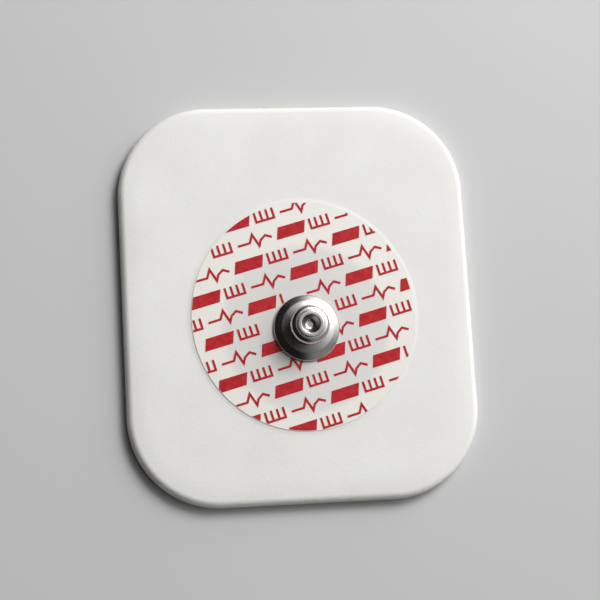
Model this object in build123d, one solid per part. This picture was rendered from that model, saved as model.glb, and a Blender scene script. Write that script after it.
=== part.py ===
from build123d import *
from math import ceil, radians, tan
import os

# Foam monitoring electrode, lying skin side down with its snap stud up.
# Millimetres. Origin at the middle of the skin side, +Y along the longer side, +Z out of the skin.

# Foam tape
pad_width = 35.0
pad_length = 40.0
pad_corner_radius = 9.0
foam_thickness = 1.6
pad_rim_round = 0.7
gel_hole_diameter = 16.5

# Place of the stud on the pad
stud_x = 0.5
stud_y = -2.8

# Printed film disc over the hole, die cut a little longer than wide
label_x = 0.35
label_y = -1.5
label_width = 22.4
label_length = 23.0
label_thickness = 0.1

# Snap stud, pressed from one sheet
stud_sheet = 0.22
brim_diameter = 6.6
brim_edge_height = 0.34
brim_edge_round = 0.22
skirt_width = 0.7
skirt_rise = 0.36
brim_rise = 0.14
head_diameter = 3.9
neck_undercut = 0.35
neck_foot_round = 0.3
neck_height = 0.55
head_flare_height = 0.3
land_height = 0.65
shoulder_width = 0.62
shoulder_round = 0.52
crown_ring_width = 0.4
crown_height = 0.16
dimple_taper = 0.45
dimple_depth = 0.6

# Eyelet under the film, with its post swaged inside the stud
eyelet_diameter = 9.6
eyelet_flange_thickness = 0.45
eyelet_edge_bevel = 0.12
swage_foot_share = 0.75
post_fit = 0.02
post_end_gap = 0.05
film_hole_clearance = 0.1

# Gel in the foam's hole
gel_side_gap = 0.1

# Red print on the film: slanted bars, ruled scales and pulse traces in staggered rows
ink_thickness = 0.03
ink_margin = 0.06
row_tilt = 15.0
row_pitch = 2.15
row_stagger = 0.5
bar_length = 2.9
bar_height = 1.2
bar_slant = 0.45
tick_height = 1.15
tick_pitch = 0.62
tick_count = 4
pulse_length = 3.8
pulse_height = 1.5
stroke_width = 0.23
motif_gap = 0.5
smallest_patch = 0.2

# Levels, radii and places that follow from the sizes
label_top = foam_thickness + label_thickness
crease = label_top + brim_edge_height + skirt_rise
neck_foot = crease + brim_rise
swage_foot = neck_foot + swage_foot_share * neck_height
neck_top = neck_foot + neck_height
land_foot = neck_top + head_flare_height
shoulder = land_foot + land_height + shoulder_round
crown_top = shoulder + crown_height
dimple_floor = crown_top - dimple_depth
brim_radius = brim_diameter / 2
head_radius = head_diameter / 2
neck_radius = head_radius - neck_undercut
crown_radius = head_radius - shoulder_width
dimple_mouth_radius = crown_radius - crown_ring_width
dimple_floor_radius = dimple_mouth_radius - dimple_taper
post_radius = neck_radius - stud_sheet - post_fit
post_top = dimple_floor - stud_sheet - post_end_gap
ruler_length = (tick_count - 1) * tick_pitch + stroke_width


def disc(diameter, low, high):
    """Plain disc on the Z axis between two heights."""
    return extrude(Pos(0, 0, low) * Circle(diameter / 2), high - low)


def at_stud(shape):
    """Move a shape made on the Z axis to the stud's place on the pad."""
    return Pos(stud_x, stud_y, 0) * shape


def at_label(shape):
    """Move a shape made about the origin to the film disc's place on the pad."""
    return Pos(label_x, label_y, 0) * shape


def moved_in(points, inset):
    """Profile points with every edge between them moved in by the same distance."""
    lines = [(after - before).normalized() for before, after in zip(points, points[1:])]
    sides = [Vector(-line.Y, line.X) for line in lines]
    moved = []
    for point, before, after in zip(points, sides[:1] + sides, sides + sides[-1:]):
        moved.append(point + (before + after) * (inset / (1 + before.dot(after))))
    return moved


def flat_across(before, corner, after, bend):
    """Two points that stand for a bend out of sight: a flat that touches the middle of its arc."""
    back = (before - corner).normalized()
    ahead = (after - corner).normalized()
    turn = radians(180 - back.get_angle(ahead))
    cut = bend * (tan(turn / 2) - tan(turn / 4))
    return [corner + back * cut, corner + ahead * cut] if cut > 0 else [corner]


def turned(line):
    """Solid turned from a profile line that ends on the axis, with a flat foot at its start."""
    foot = Polyline(line @ 1, (0, (line @ 0).Y), line @ 0)
    return revolve(Plane.XZ * make_face([*line.edges(), *foot.edges()]), Axis.Z)


def stud_side():
    """Stud's profile as radius, height and bend, from the brim's cut edge up to the head's shoulder."""
    return [
        (brim_radius, label_top, 0),
        (brim_radius, label_top + brim_edge_height, brim_edge_round),
        (brim_radius - skirt_width, crease, 0),
        (neck_radius, neck_foot, -neck_foot_round),
        (neck_radius, neck_top, 0),
        (head_radius, land_foot, 0),
        (head_radius, shoulder, shoulder_round),
    ]


def stud_outside():
    """Outer form of the stud, with the coined ring round its dimple."""
    ring = [(crown_radius, shoulder, 0), (crown_radius, crown_top, 0), (dimple_mouth_radius, crown_top, 0)]
    dimple = [(dimple_floor_radius, dimple_floor, 0), (0, dimple_floor, 0)]
    corners = stud_side() + ring + dimple
    bends = [abs(bend) for radius, height, bend in corners[1:-1]]
    return turned(FilletPolyline(*[(radius, height) for radius, height, bend in corners], radius=bends))


def stud_inside(inset):
    """Form inside the stud, moved in from its outer skin by a distance, with no ring.
    A convex bend tightens as it moves in, and a hollow one, under zero in the profile, opens."""
    dimple = [(dimple_mouth_radius, shoulder, 0), (dimple_floor_radius, dimple_floor, 0), (0, dimple_floor, 0)]
    corners = stud_side() + dimple
    points = moved_in([Vector(radius, height) for radius, height, bend in corners], inset)
    bends = [max(bend - inset, 0) if bend >= 0 else inset - bend for radius, height, bend in corners]
    line = points[:1]
    for before, corner, after, bend in zip(points, points[1:], points[2:], bends[1:]):
        line += flat_across(before, corner, after, bend)
    return turned(Polyline(*line, points[-1]))


def label_outline(inset=0):
    """Outline of the film disc, or the same line moved in."""
    return Ellipse(label_width / 2 - inset, label_length / 2 - inset)


def make_foam_backing():
    """Rounded rectangle of foam, its outer edge drawn down by the die, with the gel's hole."""
    outline = RectangleRounded(pad_width, pad_length, pad_corner_radius)
    foam = extrude(outline, foam_thickness)
    foam = fillet(foam.faces().sort_by(Axis.Z)[-1].edges(), pad_rim_round)
    return foam - at_stud(disc(gel_hole_diameter, 0, foam_thickness))


def make_label_film():
    """Film disc on the foam, with a hole for the eyelet's post."""
    film = at_label(extrude(Pos(0, 0, foam_thickness) * label_outline(), label_thickness))
    hole = disc(2 * (post_radius + film_hole_clearance), foam_thickness, label_top)
    return film - at_stud(hole)


def make_snap_stud():
    """Stud of one thickness of sheet: brim standing on the film, neck, head and dimple."""
    return at_stud(stud_outside() - stud_inside(stud_sheet))


def make_sensor_eyelet():
    """Flange under the film, and a post that fills the stud's neck and swells inside its head."""
    flange_foot = foam_thickness - eyelet_flange_thickness
    flange = disc(eyelet_diameter, flange_foot, foam_thickness)
    flange = chamfer(flange.edges().sort_by(Axis.Z)[0], eyelet_edge_bevel)
    post = disc(2 * post_radius, foam_thickness, swage_foot)
    swage = stud_inside(stud_sheet + post_fit) & disc(head_diameter, swage_foot, post_top)
    return at_stud(flange + post + swage)


def make_gel_disc():
    """Gel that fills the hole up to the film, moulded round the eyelet's flange."""
    gel = at_stud(disc(gel_hole_diameter - 2 * gel_side_gap, 0, foam_thickness))
    return gel - make_sensor_eyelet()


def bar():
    """Solid slanted bar."""
    half_length = bar_length / 2
    half_height = bar_height / 2
    lean = bar_slant / 2
    return make_face(Polyline(
        (-half_length - lean, -half_height),
        (half_length - lean, -half_height),
        (half_length + lean, half_height),
        (-half_length + lean, half_height),
        close=True,
    ))


def ruler():
    """Short upright strokes side by side on a base line."""
    middle = (tick_count - 1) / 2
    stroke = Rectangle(stroke_width, tick_height)
    line = Pos(0, (stroke_width - tick_height) / 2) * Rectangle(ruler_length, stroke_width)
    return line + [Pos((index - middle) * tick_pitch, 0) * stroke for index in range(tick_count)]


def pulse():
    """One heartbeat drawn with a pen of the stroke's width."""
    beat = [
        (-0.5, -0.1), (-0.15, -0.1), (-0.02, 0.5), (0.09, -0.5), (0.17, -0.1), (0.33, 0.18), (0.5, -0.1),
    ]
    reach = pulse_length - stroke_width
    rise = pulse_height - stroke_width
    return trace(Polyline(*[(x * reach, y * rise) for x, y in beat]), stroke_width)


def print_row():
    """Motifs of one period of a row, side by side from its start, and the period's length."""
    motifs = []
    start = 0
    for motif, length in ((bar(), bar_length), (ruler(), ruler_length), (pulse(), pulse_length)):
        motifs.append(Pos(start + length / 2, 0) * motif)
        start += length + motif_gap
    return motifs, start


def make_label_print():
    """Ink patches on the film, cut off at its edge and round the stud's brim."""
    reach = label_length / 2
    row_motifs, row_period = print_row()
    rows = ceil(reach / row_pitch)
    columns = ceil(reach / row_period) + 1
    motifs = []
    for row in range(-rows, rows + 1):
        shift = row_stagger * (row % 2)
        for column in range(-columns, columns + 1):
            place = Pos((column + shift) * row_period, row * row_pitch)
            motifs += [place * motif for motif in row_motifs]
    brim_place = Pos(stud_x - label_x, stud_y - label_y)
    window = label_outline(ink_margin) - brim_place * Circle(brim_radius + ink_margin)
    pattern = (Rot(0, 0, row_tilt) * (Sketch() + motifs)) & window
    patches = [face for face in pattern.faces() if face.area > smallest_patch]
    return Compound([at_label(extrude(Pos(0, 0, label_top) * patch, ink_thickness)) for patch in patches])


os.makedirs("parts", exist_ok=True)
nodes = {
    "foam_backing": make_foam_backing(),
    "label_film": make_label_film(),
    "label_print": make_label_print(),
    "snap_stud": make_snap_stud(),
    "sensor_eyelet": make_sensor_eyelet(),
    "gel_disc": make_gel_disc(),
}
for name, shape in nodes.items():
    export_step(shape, f"parts/{name}.step")
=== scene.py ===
import bpy
import numpy as np
from math import cos, pi, radians, sin, tan
from mathutils import Matrix, Quaternion, Vector


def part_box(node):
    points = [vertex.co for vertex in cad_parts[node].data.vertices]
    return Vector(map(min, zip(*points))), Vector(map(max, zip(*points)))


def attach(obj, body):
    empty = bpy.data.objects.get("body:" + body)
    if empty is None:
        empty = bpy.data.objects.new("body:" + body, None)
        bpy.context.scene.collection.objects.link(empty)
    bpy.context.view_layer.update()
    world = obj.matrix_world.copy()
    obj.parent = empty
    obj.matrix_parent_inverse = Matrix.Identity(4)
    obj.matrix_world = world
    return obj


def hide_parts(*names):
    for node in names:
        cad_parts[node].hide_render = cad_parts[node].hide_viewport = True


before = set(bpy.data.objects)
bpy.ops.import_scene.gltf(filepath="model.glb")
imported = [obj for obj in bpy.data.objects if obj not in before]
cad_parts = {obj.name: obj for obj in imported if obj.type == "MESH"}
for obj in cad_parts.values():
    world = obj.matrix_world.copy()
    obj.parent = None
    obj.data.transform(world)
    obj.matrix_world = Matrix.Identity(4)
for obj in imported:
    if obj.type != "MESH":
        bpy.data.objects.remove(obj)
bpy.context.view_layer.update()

# Foam backing. A rounded rectangle die cut from white closed-cell foam tape, with a hole for the gel.
# The die draws the outer edge down a little, into a soft rim, and leaves the cells open along its side.
# Its skin side carries a thin coat of clear adhesive.
MM = 0.001
foam_low, foam_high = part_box("foam_backing")
foam_top = foam_high.z
corner_radius = 9 * MM
rim_round = 0.7 * MM
droop_width = 1.8 * MM
droop_depth = 0.08 * MM
foot_round = 0.06 * MM
steps_round_outline = 960
side_rows = 9
rim_rows = 9
top_rows = 26
bank_rows = 12
covered_rows = 8
under_rows = 14
bank_width = 0.45 * MM
bank_height = 0.035 * MM
film_clearance = 0.015 * MM
grain_at_film = 0.2
gel_gap = 0.1 * MM
wave_middle = 0.62
cell_floor = 0.15
cell_brink = 0.6
foam_shade = (0.80, 0.79, 0.76)
foam_white = (0.845, 0.838, 0.815)
adhesive_shade = (0.70, 0.68, 0.61)
adhesive_pale = (0.78, 0.77, 0.71)
# A value in marks is the scale of a pattern, in marks a metre.
cloud_marks = 160.0
pebble_marks = 4200.0
skin_grain_marks = 2600.0
mottle_marks = 700.0
peel_marks = 1500.0

gel_low, gel_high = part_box("gel_disc")
stud_low, stud_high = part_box("snap_stud")
stud_axis = (stud_low + stud_high) / 2
hole_radius = (gel_high.x - gel_low.x) / 2 + gel_gap
label_low, label_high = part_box("label_film")
label_middle = (label_low + label_high) / 2
label_reach = (label_high - label_low) / 2


def rounded_outline(half_width, half_length, radius, steps):
    """Points and outward normals round a rounded rectangle, evenly spaced, anticlockwise."""
    straight_x = 2 * (half_width - radius)
    straight_y = 2 * (half_length - radius)
    arc = pi * radius / 2
    corners = [(1, 1, 0), (-1, 1, pi / 2), (-1, -1, pi), (1, -1, 3 * pi / 2)]
    runs = [straight_x, straight_y, straight_x, straight_y]
    total = 4 * arc + sum(runs)
    points, normals = [], []
    for step in range(steps):
        along = step / steps * total
        for (side_x, side_y, start), run in zip(corners, runs):
            centre = np.array((side_x * (half_width - radius), side_y * (half_length - radius)))
            if along < arc:
                angle = start + along / radius
                normal = np.array((cos(angle), sin(angle)))
                points.append(centre + radius * normal)
                normals.append(normal)
                break
            along -= arc
            if along < run:
                angle = start + pi / 2
                normal = np.array((cos(angle), sin(angle)))
                heading = np.array((-normal[1], normal[0]))
                points.append(centre + radius * normal + along * heading)
                normals.append(normal)
                break
            along -= run
    return np.array(points), np.array(normals)


def mesh_from_rings(name, rings):
    """Mesh of quads between rings with the same number of points, the last ring joined to the first."""
    count = len(rings[0])
    vertices = np.concatenate(rings)
    faces = []
    for ring in range(len(rings)):
        low = ring * count
        high = (ring + 1) % len(rings) * count
        for step in range(count):
            after = (step + 1) % count
            faces.append((low + step, low + after, high + after, high + step))
    mesh = bpy.data.meshes.new(name)
    mesh.from_pydata(vertices.tolist(), [], faces)
    mesh.polygons.foreach_set("use_smooth", [True] * len(faces))
    return mesh


def foam_rings():
    """Rings of points from the hole along the skin side, up the side, over the rim and back along the top.
    Each comes with how free its points are to show grain, and how far they are on the cut side."""
    half_width = (foam_high.x - foam_low.x) / 2
    half_length = (foam_high.y - foam_low.y) / 2
    edge, outward = rounded_outline(half_width, half_length, corner_radius, steps_round_outline)
    middle = np.array((stud_axis.x, stud_axis.y))
    ray = edge - middle
    hole = middle + hole_radius * ray / np.linalg.norm(ray, axis=1)[:, None]
    rings = []

    def add(ground, height, skin, cut):
        heights = np.zeros(len(ground)) + height
        rings.append((np.column_stack([ground, heights]), skin, cut))

    rim_top = foam_top - droop_depth
    foot = edge - outward * foot_round
    for row in range(under_rows + 1):
        share = row / under_rows
        add(hole * (1 - share) + foot * share, 0.0, 0.0, 0.0)
    for row in range(side_rows + 1):
        share = row / side_rows
        add(edge, foot_round + share * (rim_top - rim_round - foot_round), 0.0, 1.0)
    for row in range(1, rim_rows + 1):
        turn = row / rim_rows * pi / 2
        inset = rim_round * (1 - cos(turn))
        add(edge - outward * inset, rim_top - rim_round * (1 - sin(turn)), sin(turn) ** 2, cos(turn) ** 2)
    brink = edge - outward * rim_round
    centre = np.array((label_middle.x, label_middle.y))
    spoke = (edge - centre) / np.linalg.norm(edge - centre, axis=1)[:, None]
    film_edge = spoke * (label_reach.x, label_reach.y)
    bank_foot = centre + film_edge + spoke * (film_clearance + bank_width)
    reach = np.linalg.norm(bank_foot - brink, axis=1)
    for row in range(1, top_rows + 1):
        share = row / top_rows
        droop = droop_depth * np.maximum(1 - share * reach / droop_width, 0) ** 2
        add(brink * (1 - share) + bank_foot * share, foam_top - droop, 1.0, 0.0)
    for row in range(1, bank_rows + 1):
        share = row / bank_rows
        rise = bank_height * share * share * (3 - 2 * share)
        ground = centre + film_edge + spoke * (film_clearance + bank_width * (1 - share))
        add(ground, foam_top + rise, 1 - (1 - grain_at_film) * share, 0.0)
    under_film = centre + film_edge + spoke * film_clearance / 2
    for row in range(covered_rows + 1):
        share = row / covered_rows
        add(under_film * (1 - share) + hole * share, foam_top, 0.0, 0.0)
    return rings


def new_piece(name, mesh):
    """Object for a finished mesh, with its place in the mesh."""
    piece = bpy.data.objects.new(name, mesh)
    bpy.context.scene.collection.objects.link(piece)
    return piece


def new_tree(name, sizes):
    """Geometry node tree with a named number input for each size, and its entry and exit nodes."""
    tree = bpy.data.node_groups.new(name, "GeometryNodeTree")
    tree.interface.new_socket("Geometry", in_out="INPUT", socket_type="NodeSocketGeometry")
    for size, default in sizes.items():
        socket = tree.interface.new_socket(size, in_out="INPUT", socket_type="NodeSocketFloat")
        socket.default_value = default
    tree.interface.new_socket("Geometry", in_out="OUTPUT", socket_type="NodeSocketGeometry")
    return tree, tree.nodes.new("NodeGroupInput"), tree.nodes.new("NodeGroupOutput")


def node(tree, kind, inputs, **settings):
    """Node of a kind with its settings, its inputs fed from sockets or set to plain values."""
    made = tree.nodes.new(kind)
    for setting, value in settings.items():
        setattr(made, setting, value)
    for key, value in inputs.items():
        if isinstance(value, bpy.types.NodeSocket):
            tree.links.new(value, made.inputs[key])
        else:
            made.inputs[key].default_value = value
    return made


def maths(tree, operation, first, second=0.0):
    """Result of one sum of two numbers or sockets."""
    return node(tree, "ShaderNodeMath", {0: first, 1: second}, operation=operation).outputs[0]


def spread(tree, value, low, high, to_low, to_high, **settings):
    """Number that runs from one value to another while a socket runs from low to high."""
    return node(tree, "ShaderNodeMapRange", {
        "Value": value, "From Min": low, "From Max": high, "To Min": to_low, "To Max": to_high},
        **settings).outputs[0]


def apply_tree(piece, tree, sizes):
    """Run a tree on a piece with the given sizes, and keep the result as its plain mesh."""
    modifier = piece.modifiers.new(tree.name, "NODES")
    modifier.node_group = tree
    for item in tree.interface.items_tree:
        if item.in_out == "INPUT" and item.name in sizes:
            modifier[item.identifier] = sizes[item.name]
    depsgraph = bpy.context.evaluated_depsgraph_get()
    mesh = bpy.data.meshes.new_from_object(piece.evaluated_get(depsgraph), depsgraph=depsgraph)
    piece.modifiers.remove(modifier)
    old = piece.data
    piece.data = mesh
    bpy.data.meshes.remove(old)
    mesh.name = piece.name


def new_material(name, **numbers):
    """Material with its shader's own sockets set, and its tree, shader and object coordinates."""
    material = bpy.data.materials.new(name)
    material.use_nodes = True
    tree = material.node_tree
    shader = tree.nodes["Principled BSDF"]
    for key, value in numbers.items():
        shader.inputs[key.replace("_", " ")].default_value = value
    place = tree.nodes.new("ShaderNodeTexCoord").outputs["Object"]
    return material, tree, shader, place


def paint(tree, shader, share, *stops):
    """Base colour that changes with a share, by stops of place and colour."""
    tint = node(tree, "ShaderNodeValToRGB", {"Fac": share})
    ramp = tint.color_ramp
    for element, (position, colour) in zip(ramp.elements, (stops[0], stops[-1])):
        element.position = position
        element.color = (*colour, 1)
    for position, colour in stops[1:-1]:
        ramp.elements.new(position).color = (*colour, 1)
    tree.links.new(tint.outputs["Color"], shader.inputs["Base Color"])


def roughen(tree, shader, height, strength, depth):
    """Bumps of a pattern, as deep as given, on a shader."""
    bump = node(tree, "ShaderNodeBump", {"Height": height, "Strength": strength, "Distance": depth})
    tree.links.new(bump.outputs["Normal"], shader.inputs["Normal"])


def foam_material():
    """White closed-cell foam: soft light inside it, a fine pebbled skin and faint yellowing clouds."""
    material, tree, shader, place = new_material(
        "White closed-cell foam", Roughness=0.62, Subsurface_Weight=0.3, Subsurface_Scale=0.6 * MM,
        Specular_IOR_Level=0.35)
    shader.inputs["Subsurface Radius"].default_value = (1.0, 0.9, 0.8)
    clouds = node(tree, "ShaderNodeTexNoise", {"Vector": place, "Scale": cloud_marks, "Detail": 3.0})
    paint(tree, shader, clouds.outputs["Fac"], (0.3, foam_shade), (0.7, foam_white))
    cells = node(tree, "ShaderNodeTexVoronoi", {"Vector": place, "Scale": pebble_marks},
                 feature="SMOOTH_F1")
    grain = node(tree, "ShaderNodeTexNoise", {"Vector": place, "Scale": skin_grain_marks, "Detail": 4.0})
    height = maths(tree, "ADD", cells.outputs["Distance"], grain.outputs["Fac"])
    roughen(tree, shader, height, strength=0.35, depth=0.02 * MM)
    return material


def adhesive_material():
    """Clear tacky coat on white foam, with a shallow orange-peel surface."""
    material, tree, shader, place = new_material(
        "Adhesive coat", Roughness=0.28, Coat_Weight=0.5, Coat_Roughness=0.15)
    mottle = node(tree, "ShaderNodeTexNoise", {"Vector": place, "Scale": mottle_marks, "Detail": 2.0})
    paint(tree, shader, mottle.outputs["Fac"], (0.0, adhesive_shade), (1.0, adhesive_pale))
    peel = node(tree, "ShaderNodeTexNoise", {"Vector": place, "Scale": peel_marks, "Detail": 1.0})
    roughen(tree, shader, peel.outputs["Fac"], strength=0.3, depth=0.03 * MM)
    return material


def foam_tree(skin_material, under_material):
    """Tree that gives the skin its low swells and grain, and opens the cells of the cut side."""
    tree, entry, leave = new_tree("Foam surface", {
        "Swell size": 4 * MM, "Swell height": 0.03 * MM, "Grain size": 0.5 * MM, "Grain height": 0.008 * MM,
        "Cell size": 0.32 * MM, "Cell depth": 0.05 * MM, "Seed": 3.0})
    size = entry.outputs
    place = node(tree, "GeometryNodeInputPosition", {}).outputs[0]
    normal = node(tree, "GeometryNodeInputNormal", {}).outputs[0]
    skin = node(tree, "GeometryNodeInputNamedAttribute", {"Name": "skin"}, data_type="FLOAT").outputs[0]
    cut = node(tree, "GeometryNodeInputNamedAttribute", {"Name": "cut"}, data_type="FLOAT").outputs[0]
    under = node(tree, "GeometryNodeInputNamedAttribute", {"Name": "under"}, data_type="FLOAT").outputs[0]

    def waves(width, height):
        scale = maths(tree, "DIVIDE", 1.0, width)
        wave = node(tree, "ShaderNodeTexNoise", {
            "Vector": place, "W": size["Seed"], "Scale": scale, "Detail": 2.0}, noise_dimensions="4D")
        return maths(tree, "MULTIPLY", maths(tree, "SUBTRACT", wave.outputs[0], wave_middle), height)

    swell = waves(size["Swell size"], size["Swell height"])
    grain = waves(size["Grain size"], size["Grain height"])
    skin_lift = maths(tree, "MULTIPLY", maths(tree, "ADD", swell, grain), skin)
    scale = maths(tree, "DIVIDE", 1.0, size["Cell size"])
    cell = node(tree, "ShaderNodeTexVoronoi", {"Vector": place, "W": size["Seed"], "Scale": scale},
                voronoi_dimensions="4D", feature="F1")
    bowl = spread(tree, cell.outputs["Distance"], cell_floor, cell_brink, 1.0, 0.0,
                  interpolation_type="SMOOTHSTEP")
    cut_lift = maths(tree, "MULTIPLY", maths(tree, "MULTIPLY", bowl, cut), size["Cell depth"])
    lift = maths(tree, "SUBTRACT", skin_lift, cut_lift)
    shift = node(tree, "ShaderNodeVectorMath", {0: normal, "Scale": lift}, operation="SCALE").outputs[0]
    moved = node(tree, "GeometryNodeSetPosition",
                 {"Geometry": size["Geometry"], "Offset": shift}).outputs[0]
    real = node(tree, "GeometryNodeRealizeInstances", {"Geometry": moved}).outputs[0]
    skinned = node(tree, "GeometryNodeSetMaterial",
                   {"Geometry": real, "Material": skin_material}).outputs[0]
    below = node(tree, "FunctionNodeCompare", {0: under, 1: 0.5}, operation="GREATER_THAN").outputs[0]
    coated = node(tree, "GeometryNodeSetMaterial",
                  {"Geometry": skinned, "Selection": below, "Material": under_material}).outputs[0]
    tree.links.new(coated, leave.inputs["Geometry"])
    return tree


def point_numbers(mesh, name, values):
    """Named number on every point of a mesh."""
    mesh.attributes.new(name, "FLOAT", "POINT").data.foreach_set("value", values)


rings = foam_rings()
foam_mesh = mesh_from_rings("foam_pad", [points for points, skin, cut in rings])
foam_points = np.concatenate([points for points, skin, cut in rings])
skin_share = np.repeat([skin for points, skin, cut in rings], steps_round_outline)
cut_share = np.repeat([cut for points, skin, cut in rings], steps_round_outline)
point_numbers(foam_mesh, "skin", skin_share)
point_numbers(foam_mesh, "cut", cut_share)
point_numbers(foam_mesh, "under", (foam_points[:, 2] < foot_round / 2).astype(float))
foam = new_piece("foam_pad", foam_mesh)
apply_tree(foam, foam_tree(foam_material(), adhesive_material()), {"Seed": 3.0})
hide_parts("foam_backing")
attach(foam, "root")

# Gel disc. Clear conductive gel cast into the foam's hole, over the eyelet and up to the film.
# Its skin side is flat and wet, and draws up a little where it meets the foam.
gel_edge_draw = 0.18 * MM
gel_clearance = 0.012 * MM
gel_flat_share = 0.9
gel_flat_steps = 12
gel_drawn_steps = 9
gel_steps = 160
weld_distance = 0.0001 * MM
eyelet_bevel = 0.12 * MM
gel_cloudy = (0.78, 0.86, 0.88)
gel_bright = (0.92, 0.96, 0.96)
haze_marks = 450.0


def profile_mesh(name, points):
    """Mesh of one line of points, radius in X and height in Z."""
    mesh = bpy.data.meshes.new(name)
    mesh.from_pydata([(radius, 0.0, height) for radius, height in points],
                     [(step, step + 1) for step in range(len(points) - 1)], [])
    return mesh


def vector_maths(tree, operation, first, second=(0.0, 0.0, 0.0)):
    """Node of one sum of two places or directions."""
    return node(tree, "ShaderNodeVectorMath", {0: first, 1: second}, operation=operation)


def turned_tree(name, material):
    """Tree that turns a profile, which starts and ends on the axis, into a closed skin round that axis."""
    tree, entry, leave = new_tree(name, {"Axis X": 0.0, "Axis Y": 0.0, "Steps round": gel_steps})
    size = entry.outputs
    outline = size["Geometry"]
    count = node(tree, "GeometryNodeAttributeDomainSize", {"Geometry": outline}).outputs["Point Count"]
    columns = maths(tree, "ADD", size["Steps round"], 1.0)
    grid = node(tree, "GeometryNodeMeshGrid", {"Vertices X": columns, "Vertices Y": count}).outputs["Mesh"]
    index = node(tree, "GeometryNodeInputIndex", {}).outputs[0]
    column = maths(tree, "FLOOR", maths(tree, "DIVIDE", maths(tree, "ADD", index, 0.5), count))
    row = maths(tree, "SUBTRACT", index, maths(tree, "MULTIPLY", column, count))
    place = node(tree, "GeometryNodeInputPosition", {}).outputs[0]
    point = node(tree, "GeometryNodeSampleIndex", {"Geometry": outline, "Value": place, "Index": row},
                 data_type="FLOAT_VECTOR", domain="POINT").outputs[0]
    angle = maths(tree, "DIVIDE", maths(tree, "MULTIPLY", column, 2 * pi), size["Steps round"])
    turned = node(tree, "ShaderNodeVectorRotate", {"Vector": point, "Angle": angle},
                  rotation_type="Z_AXIS").outputs[0]
    axis = node(tree, "ShaderNodeCombineXYZ", {"X": size["Axis X"], "Y": size["Axis Y"]}).outputs[0]
    placed = vector_maths(tree, "ADD", turned, axis).outputs[0]
    moved = node(tree, "GeometryNodeSetPosition", {"Geometry": grid, "Position": placed}).outputs[0]
    closed = node(tree, "GeometryNodeMergeByDistance",
                  {"Geometry": moved, "Distance": weld_distance}).outputs[0]
    smooth = node(tree, "GeometryNodeSetShadeSmooth", {"Geometry": closed}).outputs[0]
    real = node(tree, "GeometryNodeRealizeInstances", {"Geometry": smooth}).outputs[0]
    coated = node(tree, "GeometryNodeSetMaterial", {"Geometry": real, "Material": material}).outputs[0]
    tree.links.new(coated, leave.inputs["Geometry"])
    return tree


def gel_profile():
    """Profile of the gel from the axis along its skin side, up its side and back round the eyelet."""
    eyelet_low, eyelet_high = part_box("sensor_eyelet")
    eyelet_radius = (eyelet_high.x - eyelet_low.x) / 2 + gel_clearance
    recess_floor = eyelet_low.z - gel_clearance
    radius = (gel_high.x - gel_low.x) / 2
    top = gel_high.z - gel_clearance
    skin = [(radius * share, 0.0) for share in np.linspace(0, gel_flat_share, gel_flat_steps)]
    drawn = []
    for turn in np.linspace(0, pi / 2, gel_drawn_steps + 1)[1:]:
        reach = gel_flat_share + (1 - gel_flat_share) * sin(turn)
        drawn.append((radius * reach, gel_edge_draw * (1 - cos(turn))))
    side = [(radius, top / 2), (radius, top)]
    recess = [(eyelet_radius, top), (eyelet_radius, recess_floor + eyelet_bevel),
              (eyelet_radius - eyelet_bevel, recess_floor), (0.0, recess_floor)]
    return skin + drawn + side + recess


def gel_material():
    """Clear, faintly cloudy wet gel."""
    material, tree, shader, place = new_material(
        "Conductive gel", Roughness=0.12, IOR=1.37, Transmission_Weight=0.85, Coat_Weight=0.3)
    haze = node(tree, "ShaderNodeTexNoise", {"Vector": place, "Scale": haze_marks, "Detail": 3.0})
    paint(tree, shader, haze.outputs["Fac"], (0.0, gel_cloudy), (1.0, gel_bright))
    roughen(tree, shader, haze.outputs["Fac"], strength=0.2, depth=0.05 * MM)
    return material


gel = new_piece("gel_pad", profile_mesh("gel_pad", gel_profile()))
apply_tree(gel, turned_tree("Cast gel", gel_material()),
           {"Axis X": stud_axis.x, "Axis Y": stud_axis.y, "Steps round": gel_steps})
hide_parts("gel_disc")
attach(gel, "root")

# Sensor eyelet. A small moulded flange and post with a silver and silver chloride coat.
# It lies in the gel under the film, and shows as a dull grey disc from the skin side.
silver_brown = (0.25, 0.235, 0.23)
silver_grey = (0.42, 0.41, 0.41)
chloride_marks = 900.0


def eyelet_material():
    """Dull grey silver coat, mottled a little brown where the chloride is thicker."""
    material, tree, shader, place = new_material("Silver chloride coat", Metallic=0.35, Roughness=0.5)
    patches = node(tree, "ShaderNodeTexNoise", {"Vector": place, "Scale": chloride_marks, "Detail": 5.0})
    paint(tree, shader, patches.outputs["Fac"], (0.35, silver_brown), (0.65, silver_grey))
    roughen(tree, shader, patches.outputs["Fac"], strength=0.3, depth=0.02 * MM)
    return material


def recoat(name, material):
    """Put a material on a node of the frame, in place of its own."""
    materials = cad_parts[name].data.materials
    materials.clear()
    materials.append(material)


recoat("sensor_eyelet", eyelet_material())

# Label film. A disc of thin white plastic film, printed in red and stuck over the gel's hole.
# It is not quite opaque, so the gel and the eyelet show through it as faint grey rings.
eyelet_shade_radius = 4.9 * MM
hole_shade_radius = 8.3 * MM
shade_blur = 0.9 * MM
over_eyelet = (0.68, 0.655, 0.63)
over_inner_gel = (0.705, 0.685, 0.66)
over_outer_gel = (0.73, 0.71, 0.68)
over_foam = (0.845, 0.82, 0.765)
film_wave_marks = 300.0


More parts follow.
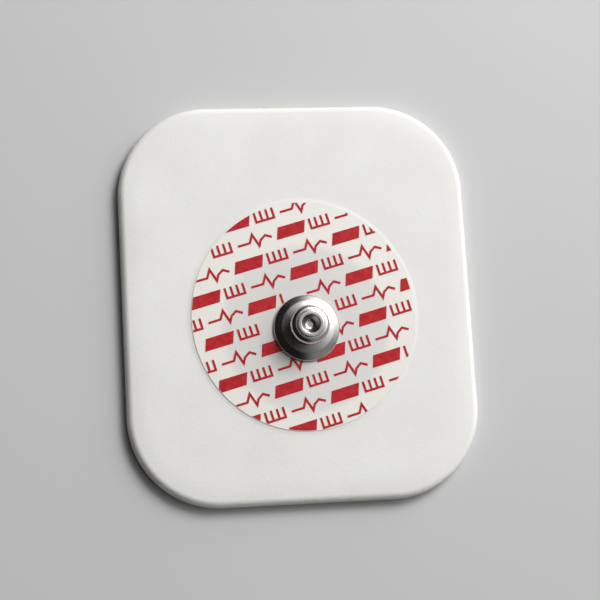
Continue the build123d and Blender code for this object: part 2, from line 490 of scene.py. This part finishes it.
def film_material():
    """White satin film, greyer over the gel and the eyelet, with slight waves in it."""
    material, tree, shader, place = new_material("Printed film", Roughness=0.38)
    centred = vector_maths(tree, "SUBTRACT", place, (stud_axis.x, stud_axis.y, label_high.z)).outputs[0]
    away = vector_maths(tree, "LENGTH", centred).outputs["Value"]
    half_blur = shade_blur / 2
    paint(tree, shader, maths(tree, "DIVIDE", away, label_reach.x),
          ((eyelet_shade_radius - half_blur) / label_reach.x, over_eyelet),
          ((eyelet_shade_radius + half_blur) / label_reach.x, over_inner_gel),
          ((hole_shade_radius - half_blur) / label_reach.x, over_outer_gel),
          ((hole_shade_radius + half_blur) / label_reach.x, over_foam))
    waves = node(tree, "ShaderNodeTexNoise", {"Vector": place, "Scale": film_wave_marks, "Detail": 2.0})
    roughen(tree, shader, waves.outputs["Fac"], strength=0.25, depth=0.1 * MM)
    return material


recoat("label_film", film_material())

# Label print. Red ink laid on the film in one pass: slanted bars, pulse traces and ticks.
# The coat is a little thin in places, so the film lightens it.
ink_full = (0.41, 0.006, 0.012)
ink_thin = (0.54, 0.03, 0.036)
ink_marks = 1800.0


def ink_material():
    """Red ink with thinner, pinker patches."""
    material, tree, shader, place = new_material("Red ink", Roughness=0.5, Specular_IOR_Level=0.15)
    cover = node(tree, "ShaderNodeTexNoise", {"Vector": place, "Scale": ink_marks, "Detail": 4.0})
    paint(tree, shader, cover.outputs["Fac"], (0.3, ink_full), (0.75, ink_thin))
    roughen(tree, shader, cover.outputs["Fac"], strength=0.15, depth=0.02 * MM)
    return material


recoat("label_print", ink_material())

# Snap stud. One piece of thin stainless sheet, drawn in a press: a brim whose edge stands on the film,
# an undercut neck, a round-shouldered head, and a coined ring round the dimple in its top.
sheet = 0.22 * MM
brim_edge_height = 0.34 * MM
brim_edge_round = 0.22 * MM
skirt_width = 0.7 * MM
skirt_rise = 0.36 * MM
crease_round = 0.6 * MM
brim_rise = 0.14 * MM
head_radius = 1.95 * MM
neck_undercut = 0.35 * MM
neck_foot_round = 0.3 * MM
neck_height = 0.55 * MM
neck_top_round = 0.12 * MM
head_flare_height = 0.3 * MM
head_foot_round = 0.12 * MM
land_height = 0.65 * MM
shoulder_width = 0.62 * MM
shoulder_round = 0.52 * MM
crown_ring_width = 0.4 * MM
crown_height = 0.16 * MM
crown_foot_round = 0.05 * MM
crown_round = 0.1 * MM
mouth_round = 0.08 * MM
dimple_round = 0.45 * MM
inner_dimple_round = 0.3 * MM
least_bend = 0.01 * MM
bend_steps = 9
inner_bend_steps = 4
dimple_taper = 0.45 * MM
dimple_depth = 0.6 * MM
stud_steps = 224
steel_smudged = (0.57, 0.552, 0.525)
steel_bright = (0.63, 0.617, 0.595)
ring_marks = 9000.0
smudge_marks = 700.0
grain_marks = 5000.0
grain_share = 0.4
least_roughness = 0.18
most_roughness = 0.25


def stud_levels():
    """Heights of the stud's crease, neck foot, neck top, land foot, shoulder, crown and dimple floor."""
    crease = stud_low.z + brim_edge_height + skirt_rise
    neck_foot = crease + brim_rise
    neck_top = neck_foot + neck_height
    land_foot = neck_top + head_flare_height
    shoulder = land_foot + land_height + shoulder_round
    crown_top = shoulder + crown_height
    return crease, neck_foot, neck_top, land_foot, shoulder, crown_top, crown_top - dimple_depth


def stud_corners():
    """Corners of the sheet's two sides as radius, height and rounding, from the brim's foot to the axis.
    The ring is coined into the outer side only, and the punch's nose leaves the dimple's floor rounded."""
    crease, neck_foot, neck_top, land_foot, shoulder, crown_top, floor = stud_levels()
    brim_radius = (stud_high.x - stud_low.x) / 2
    neck_radius = head_radius - neck_undercut
    crown_radius = head_radius - shoulder_width
    mouth_radius = crown_radius - crown_ring_width
    side = [
        (brim_radius, stud_low.z, 0),
        (brim_radius, stud_low.z + brim_edge_height, brim_edge_round),
        (brim_radius - skirt_width, crease, crease_round),
        (neck_radius, neck_foot, -neck_foot_round),
        (neck_radius, neck_top, -neck_top_round),
        (head_radius, land_foot, head_foot_round),
        (head_radius, shoulder, shoulder_round),
    ]
    ring = [(crown_radius, shoulder, -crown_foot_round), (crown_radius, crown_top, crown_round),
            (mouth_radius, crown_top, mouth_round)]
    floor_radius = mouth_radius - dimple_taper
    dimple = [(floor_radius, floor, -dimple_round), (0.0, floor, 0)]
    inner = [(mouth_radius, shoulder, mouth_round), (floor_radius, floor, -inner_dimple_round),
             (0.0, floor, 0)]
    return side + ring + dimple, side + inner


def moved_in(corners, inset):
    """Corners of a profile with every edge between them moved in by the sheet's thickness.
    A convex bend tightens as it moves in, and a hollow one, under zero in the profile, opens."""
    places = [Vector((radius, height)) for radius, height, bend in corners]
    lines = [(after - before).normalized() for before, after in zip(places, places[1:])]
    sides = [Vector((-line.y, line.x)) for line in lines]
    moved = []
    for corner, place, before, after in zip(corners, places, sides[:1] + sides, sides + sides[-1:]):
        place = place + (before + after) * (inset / (1 + before.dot(after)))
        bend = max(corner[2] - inset, least_bend) if corner[2] >= 0 else inset - corner[2]
        moved.append((place.x, place.y, bend))
    return moved


def rounded_profile(corners, steps):
    """Points along a profile with each corner turned into an arc of its rounding."""
    points = [corners[0][:2]]
    for before, corner, after in zip(corners, corners[1:], corners[2:]):
        tip = Vector(corner[:2])
        back = (Vector(before[:2]) - tip).normalized()
        ahead = (Vector(after[:2]) - tip).normalized()
        opening = back.angle(ahead)
        bend = abs(corner[2])
        middle = tip + (back + ahead).normalized() * (bend / sin(opening / 2))
        start = tip + back * (bend / tan(opening / 2)) - middle
        turn = start.angle_signed(tip + ahead * (bend / tan(opening / 2)) - middle)
        for step in range(steps + 1):
            spoke = start.copy()
            spoke.rotate(Matrix.Rotation(-turn * step / steps, 2))
            points.append(tuple(middle + spoke))
    points.append(corners[-1][:2])
    return points


def stud_profile():
    """Profile of the sheet from the axis inside the head down to the brim's foot, and back outside."""
    outer, inner = stud_corners()
    skin = rounded_profile(outer, bend_steps)
    wall = rounded_profile(moved_in(inner, sheet), inner_bend_steps)
    return wall[::-1] + skin


def steel_material():
    """Bright pressed stainless steel, with faint rings from the draw, fine scratches and slight smudges."""
    material, tree, shader, place = new_material("Pressed stainless steel", Metallic=1.0)
    centred = vector_maths(tree, "SUBTRACT", place, (stud_axis.x, stud_axis.y, 0.0)).outputs[0]
    split = node(tree, "ShaderNodeSeparateXYZ", {0: centred}).outputs
    flat = node(tree, "ShaderNodeCombineXYZ", {"X": split["X"], "Y": split["Y"]}).outputs[0]
    radius = vector_maths(tree, "LENGTH", flat).outputs["Value"]
    round_axis = node(tree, "ShaderNodeCombineXYZ", {"X": radius, "Y": split["Z"]}).outputs[0]
    rings = node(tree, "ShaderNodeTexNoise", {"Vector": round_axis, "Scale": ring_marks, "Detail": 3.0})
    smudges = node(tree, "ShaderNodeTexNoise", {"Vector": place, "Scale": smudge_marks, "Detail": 2.0})
    paint(tree, shader, smudges.outputs["Fac"], (0.35, steel_smudged), (0.7, steel_bright))
    gloss = spread(tree, smudges.outputs["Fac"], 0.3, 0.7, least_roughness, most_roughness)
    tree.links.new(gloss, shader.inputs["Roughness"])
    grain = node(tree, "ShaderNodeTexNoise", {"Vector": place, "Scale": grain_marks, "Detail": 2.0})
    scratches = maths(tree, "MULTIPLY", grain.outputs["Fac"], grain_share)
    marks = maths(tree, "ADD", rings.outputs["Fac"], scratches)
    roughen(tree, shader, marks, strength=0.2, depth=0.0015 * MM)
    return material


stud = new_piece("pressed_stud", profile_mesh("pressed_stud", stud_profile()))
apply_tree(stud, turned_tree("Pressed sheet", steel_material()),
           {"Axis X": stud_axis.x, "Axis Y": stud_axis.y, "Steps round": stud_steps})
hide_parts("snap_stud")
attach(stud, "root")

# Floor, light and camera. A plain pale floor, a soft light from the upper right within a wide glow,
# and a room that is dark on the left, which the steel mirrors as in the photograph.
# The camera looks down on the pad from the photograph's viewing angle, a little left of and below it.
floor_reach = 600 * MM
floor_grey = 0.56
key_place = Vector((142, 175, 238)) * MM
key_width = 140 * MM
key_power = 0.67
room_dark = 0.012
room_pale = 0.28
dark_up_to = -0.06
pale_from = 0.4
window_side = Vector((0.61, 0.51, 0.60)).normalized()
window_edge = 0.55
window_fade = 3.0
window_glow = 3.05

floor_mesh = bpy.data.meshes.new("floor")
floor_corners = [(side_x * floor_reach, side_y * floor_reach, 0)
                 for side_x, side_y in ((-1, -1), (1, -1), (1, 1), (-1, 1))]
floor_mesh.from_pydata(floor_corners, [], [(0, 1, 2, 3)])
floor = new_piece("floor", floor_mesh)
floor_look, _, floor_shader, _ = new_material("Pale floor", Roughness=0.6)
floor_shader.inputs["Base Color"].default_value = (floor_grey, floor_grey, floor_grey, 1)
floor_mesh.materials.append(floor_look)

key_light = bpy.data.lights.new("key_light", "AREA")
key_light.size = key_width
key_light.energy = key_power
key_lamp = bpy.data.objects.new("key_light", key_light)
key_lamp.location = key_place
key_lamp.rotation_mode = "QUATERNION"
key_lamp.rotation_quaternion = key_place.to_track_quat("Z", "Y")
bpy.context.scene.collection.objects.link(key_lamp)


def studio_world():
    """Surroundings that fade from a dark left side to a pale right side, with a wide soft window."""
    world = bpy.data.worlds.new("Studio")
    world.use_nodes = True
    tree = world.node_tree
    direction = tree.nodes.new("ShaderNodeTexCoord").outputs["Generated"]
    across = node(tree, "ShaderNodeSeparateXYZ", {0: direction}).outputs["X"]
    room = spread(tree, across, dark_up_to, pale_from, room_dark, room_pale,
                  interpolation_type="SMOOTHSTEP")
    facing = vector_maths(tree, "DOT_PRODUCT", direction, window_side).outputs["Value"]
    inside = spread(tree, facing, window_edge, 1.0, 0.0, 1.0)
    window = maths(tree, "MULTIPLY", maths(tree, "POWER", inside, window_fade), window_glow)
    tree.links.new(maths(tree, "ADD", room, window), tree.nodes["Background"].inputs["Color"])
    return world


bpy.context.scene.world = studio_world()
bpy.context.scene.view_settings.view_transform = "Standard"

photo_side = 600
focal_length_px = 1618.0
camera_place = Vector((-24.97, -26.07, 158.19)) * MM
camera_aim = Vector((0.04, 0.06, 1.6)) * MM
camera_roll = radians(-3.37)
lens = bpy.data.cameras.new("camera")
lens.lens = focal_length_px / photo_side * lens.sensor_width
lens.clip_start = 10 * MM
camera = bpy.data.objects.new("camera", lens)
back = (camera_place - camera_aim).normalized()
right = Vector((0, 1, 0)).cross(back).normalized()
right.rotate(Quaternion(back, camera_roll))
turn = Matrix((right, back.cross(right), back)).transposed().to_4x4()
camera.matrix_world = Matrix.Translation(camera_place) @ turn
bpy.context.scene.collection.objects.link(camera)
bpy.context.scene.camera = camera
